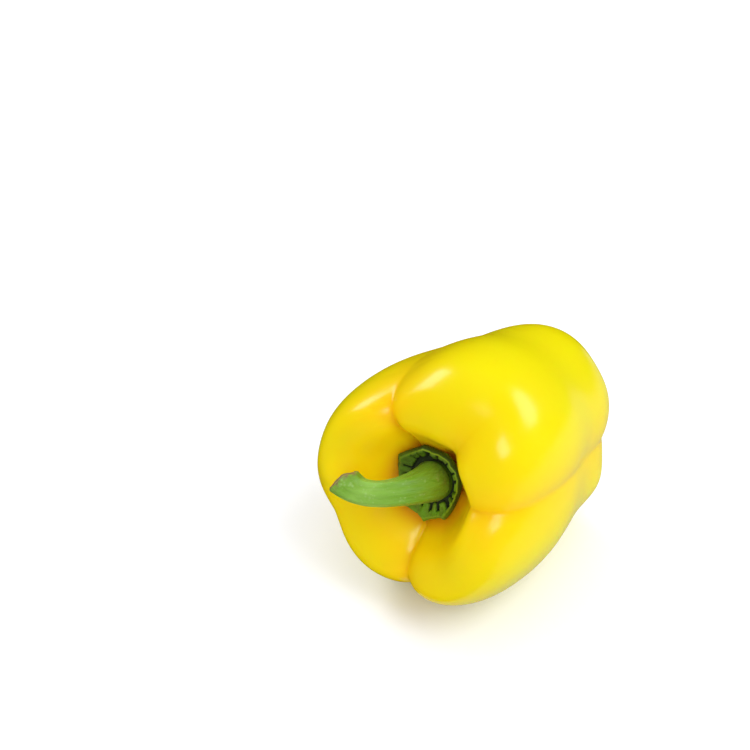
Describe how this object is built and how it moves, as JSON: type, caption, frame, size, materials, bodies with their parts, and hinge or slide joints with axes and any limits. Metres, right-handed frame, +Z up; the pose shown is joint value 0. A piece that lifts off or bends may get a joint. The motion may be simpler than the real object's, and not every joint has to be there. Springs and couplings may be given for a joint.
{
  "type": "bell pepper",
  "caption": "Glossy yellow bell pepper lying on its side, with deep creases between its lobes, a crinkled green calyx in its pit and a bent, cut green stem.",
  "frame": {"origin": "middle of the bounding box's bottom, on the surface that the pepper lies on", "axes": "+Z up; the stem end faces -Y and looks 18 degrees upward; the blossom end faces +Y"},
  "size_m": [0.083, 0.1154, 0.0866],
  "materials": {
    "fruit": "smooth waxy yellow skin, glossy",
    "calyx": "crinkled dark green, satin",
    "stem": "ribbed light green, satin, with a dry brown cut end"
  },
  "bodies": {
    "root": {"fruit": "fruit", "calyx": "calyx", "stem": "stem"}
  },
  "joints": []
}
